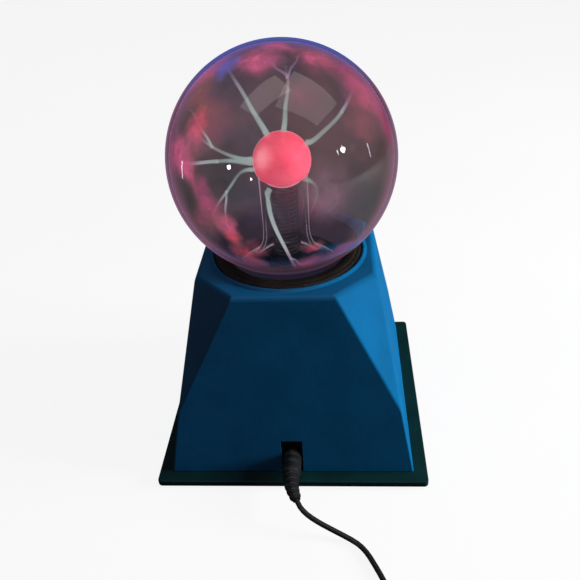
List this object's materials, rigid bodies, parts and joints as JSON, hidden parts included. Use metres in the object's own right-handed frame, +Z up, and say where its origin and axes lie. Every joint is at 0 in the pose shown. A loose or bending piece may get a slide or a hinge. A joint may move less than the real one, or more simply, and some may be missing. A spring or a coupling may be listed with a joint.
{
  "type": "plasma ball",
  "caption": "Desk plasma ball: glass globe with a central electrode stem on a tapered octagonal housing, square base plate, mode slider and pull-out USB power lead.",
  "frame": {"origin": "on the surface that the four feet stand on, under the middle of the base plate", "axes": "+Z up through the globe; -Y is the side where the power lead goes in, +Y the side with the mode slider"},
  "size_m": [0.128, 0.2295, 0.1901],
  "materials": {
    "housing_blue": "fine moulded grain, satin blue",
    "plate_green": "very dark green-black, smooth",
    "foot_rubber": "matte black rubber",
    "gasket_rubber": "brown-black rubber with a slight sheen",
    "globe_glass": "clear blown glass",
    "stem_glass": "clear glass tube",
    "electrode_coating": "glowing coral-red coating",
    "spring_steel": "drawn steel wire",
    "zinc_steel": "zinc-plated steel",
    "inner_black": "black moulded plastic",
    "board_green": "green solder mask",
    "ferrite": "dark grey sintered ferrite",
    "winding_tape": "amber winding tape",
    "red_insulation": "red insulation",
    "aluminium": "mill-finish aluminium",
    "capacitor_sleeve": "dark blue shrink sleeve",
    "resistor_body": "tan lacquer",
    "lead_plastic": "soft black moulded plastic",
    "nickel": "bright nickel plate",
    "tongue_plastic": "natural plastic",
    "tie_plastic": "black plastic"
  },
  "bodies": {
    "base": {"housing": "housing_blue", "base_plate": "plate_green", "rubber_foot_1": "foot_rubber", "rubber_foot_2": "foot_rubber", "rubber_foot_3": "foot_rubber", "rubber_foot_4": "foot_rubber", "neck_gasket": "gasket_rubber", "stem_plug": "gasket_rubber", "glass_globe": "globe_glass", "glass_stem": "stem_glass", "electrode_ball": "electrode_coating", "contact_spring": "spring_steel", "base_screw_1": "zinc_steel", "base_screw_2": "zinc_steel", "base_screw_3": "zinc_steel", "base_screw_4": "zinc_steel", "board_screw_1": "zinc_steel", "board_screw_2": "zinc_steel", "board_screw_3": "zinc_steel", "board_screw_4": "zinc_steel", "retainer_screw_1": "zinc_steel", "retainer_screw_2": "zinc_steel", "retainer_screw_3": "zinc_steel", "retainer_screw_4": "zinc_steel", "switch_screw_1": "zinc_steel", "switch_screw_2": "zinc_steel", "transistor_screw": "zinc_steel", "globe_retainer": "inner_black", "power_transistor": "inner_black", "timer_chip": "inner_black", "dc_socket": "inner_black", "mode_switch": "inner_black", "circuit_board": "board_green", "flyback_core": "ferrite", "flyback_winding": "winding_tape", "high_voltage_lead": "red_insulation", "switch_ribbon": "red_insulation", "film_capacitor": "red_insulation", "heat_sink": "aluminium", "microphone_capsule": "aluminium", "electrolytic_capacitor_1": "capacitor_sleeve", "electrolytic_capacitor_2": "capacitor_sleeve", "resistor_1": "resistor_body", "resistor_2": "resistor_body", "resistor_3": "resistor_body"},
    "mode_slider": {"mode_slider": "inner_black"},
    "power_lead": {"dc_plug_body": "lead_plastic", "dc_plug_barrel": "nickel", "power_cord": "lead_plastic", "power_cord_end": "lead_plastic", "cord_coil": "lead_plastic", "cable_tie": "tie_plastic", "usb_plug_body": "lead_plastic", "usb_plug_shell": "nickel", "usb_plug_tongue": "tongue_plastic"}
  },
  "joints": [
    {"name": "mode_slide", "type": "slide", "parent": "base", "child": "mode_slider", "axis": [-1, 0, 0], "range_m": [0, 0.004]},
    {"name": "lead_pull", "type": "slide", "parent": "base", "child": "power_lead", "axis": [0, -1, 0], "range_m": [0, 0.0095]}
  ]
}
